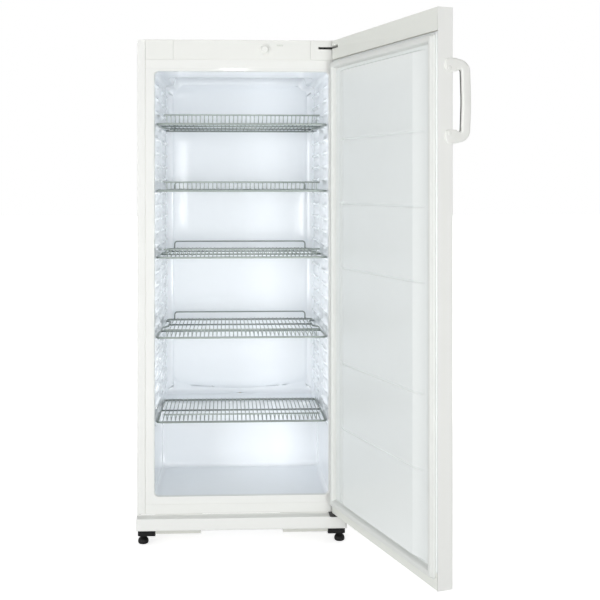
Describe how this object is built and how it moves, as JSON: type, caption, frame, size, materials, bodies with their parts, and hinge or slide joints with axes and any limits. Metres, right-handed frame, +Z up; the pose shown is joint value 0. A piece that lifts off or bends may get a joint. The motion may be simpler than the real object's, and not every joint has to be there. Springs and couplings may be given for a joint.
{
  "type": "upright refrigerator",
  "caption": "White upright storage refrigerator with an open right-hung door, wire shelves on moulded supports, a top control panel with a thermostat knob, levelling feet and a rear condenser",
  "frame": {"origin": "On the floor, under the middle of the cabinet (not counting the door and the condenser)", "axes": "+Z up, +X to the right seen from the front, +Y towards the back; the open door hangs on +X and points to -Y"},
  "size_m": [0.8294, 1.1186, 1.45],
  "materials": {
    "white_steel": "smooth white coating",
    "white_plastic": "smooth white moulding",
    "liner_plastic": "glossy bluish-white sheet",
    "lining_plastic": "glossy pale grey-white sheet",
    "cap_plastic": "fine matt moulding",
    "foam": "cut rigid foam",
    "zinc_steel": "zinc coated sheet",
    "beige_steel": "off-white coating",
    "dark_steel": "dark coating",
    "black_plastic": "fine matt moulding",
    "grey_plastic": "fine matt moulding",
    "shelf_coating": "grey-green plastic coating on wire",
    "seal_rubber": "soft pale grey",
    "black_rubber": "soft black",
    "aluminium": "rolled sheet",
    "copper": "drawn copper tube",
    "lens": "clear tinted lens"
  },
  "bodies": {
    "cabinet": {"left_side_panel": "white_steel", "right_side_panel": "white_steel", "top_panel": "white_steel", "rear_panel": "zinc_steel", "compressor_bay_panel": "zinc_steel", "foam_insulation": "foam", "inner_liner": "liner_plastic", "top_cross_strip": "white_steel", "bottom_cross_rail": "white_steel", "control_panel": "white_plastic", "left_panel_cover": "white_plastic", "right_panel_cover": "white_plastic", "control_compartment": "grey_plastic", "thermostat": "grey_plastic", "indicator_lens": "lens", "plinth": "white_steel", "left_base_rail": "beige_steel", "right_base_rail": "beige_steel", "foot_brackets": "black_plastic", "roller_axles": "zinc_steel", "roller_brackets": "zinc_steel", "top_hinge_plate": "dark_steel", "top_hinge_pin": "zinc_steel", "top_hinge_supports": "zinc_steel", "top_hinge_screws": "zinc_steel", "bottom_hinge_plate": "dark_steel", "bottom_hinge_pin": "zinc_steel", "evaporator_plate": "aluminium", "drain_tube": "grey_plastic", "evaporation_tray": "grey_plastic", "compressor": "dark_steel", "compressor_rail": "zinc_steel", "compressor_mounts": "black_rubber", "start_relay": "black_plastic", "refrigerant_pipes": "copper", "condenser_tube": "dark_steel", "condenser_wires": "dark_steel", "condenser_spacers": "black_plastic", "mains_inlet": "black_plastic"},
    "thermostat_control": {"thermostat_spindle": "zinc_steel", "thermostat_knob": "white_plastic"},
    "door": {"door_outer_panel": "white_steel", "door_lining": "lining_plastic", "door_insulation": "foam", "door_seal": "seal_rubber", "door_top_cap": "cap_plastic", "door_bottom_cap": "cap_plastic", "door_hinge_bushes": "grey_plastic", "door_handle": "white_plastic", "handle_screws": "zinc_steel", "handle_screw_caps": "white_plastic"},
    "left_foot": {"left_levelling_foot": "black_plastic"},
    "right_foot": {"right_levelling_foot": "black_plastic"},
    "left_roller_wheel": {"left_roller": "grey_plastic"},
    "right_roller_wheel": {"right_roller": "grey_plastic"},
    "shelf_1_frame": {"shelf_1": "shelf_coating"},
    "shelf_2_frame": {"shelf_2": "shelf_coating"},
    "shelf_3_frame": {"shelf_3": "shelf_coating"},
    "shelf_4_frame": {"shelf_4": "shelf_coating"},
    "shelf_5_frame": {"shelf_5": "shelf_coating"}
  },
  "joints": [
    {"name": "door_hinge", "type": "hinge", "parent": "cabinet", "child": "door", "pos_m": [0.28, -0.285, 0.75], "axis": [0, 0, 1], "range_deg": [-108, 7]},
    {"name": "thermostat_turn", "type": "hinge", "parent": "cabinet", "child": "thermostat_control", "pos_m": [0.0655, -0.2575, 1.4225], "axis": [0, -1, 0], "range_deg": [-210, 60]},
    {"name": "shelf_1_slide", "type": "slide", "parent": "cabinet", "child": "shelf_1_frame", "axis": [0, -1, 0], "range_m": [0, 0.13]},
    {"name": "shelf_2_slide", "type": "slide", "parent": "cabinet", "child": "shelf_2_frame", "axis": [0, -1, 0], "range_m": [0, 0.13]},
    {"name": "shelf_3_slide", "type": "slide", "parent": "cabinet", "child": "shelf_3_frame", "axis": [0, -1, 0], "range_m": [0, 0.13]},
    {"name": "shelf_4_slide", "type": "slide", "parent": "cabinet", "child": "shelf_4_frame", "axis": [0, -1, 0], "range_m": [0, 0.13]},
    {"name": "shelf_5_slide", "type": "slide", "parent": "cabinet", "child": "shelf_5_frame", "axis": [0, -1, 0], "range_m": [0, 0.07]},
    {"name": "left_foot_screw", "type": "slide", "parent": "cabinet", "child": "left_foot", "axis": [0, 0, -1], "range_m": [0, 0.012]},
    {"name": "left_roller_spin", "type": "hinge", "parent": "cabinet", "child": "left_roller_wheel", "pos_m": [-0.25, 0.215, 0.022], "axis": [1, 0, 0], "continuous": true},
    {"name": "right_foot_screw", "type": "slide", "parent": "cabinet", "child": "right_foot", "axis": [0, 0, -1], "range_m": [0, 0.012]},
    {"name": "right_roller_spin", "type": "hinge", "parent": "cabinet", "child": "right_roller_wheel", "pos_m": [0.25, 0.215, 0.022], "axis": [1, 0, 0], "continuous": true}
  ]
}
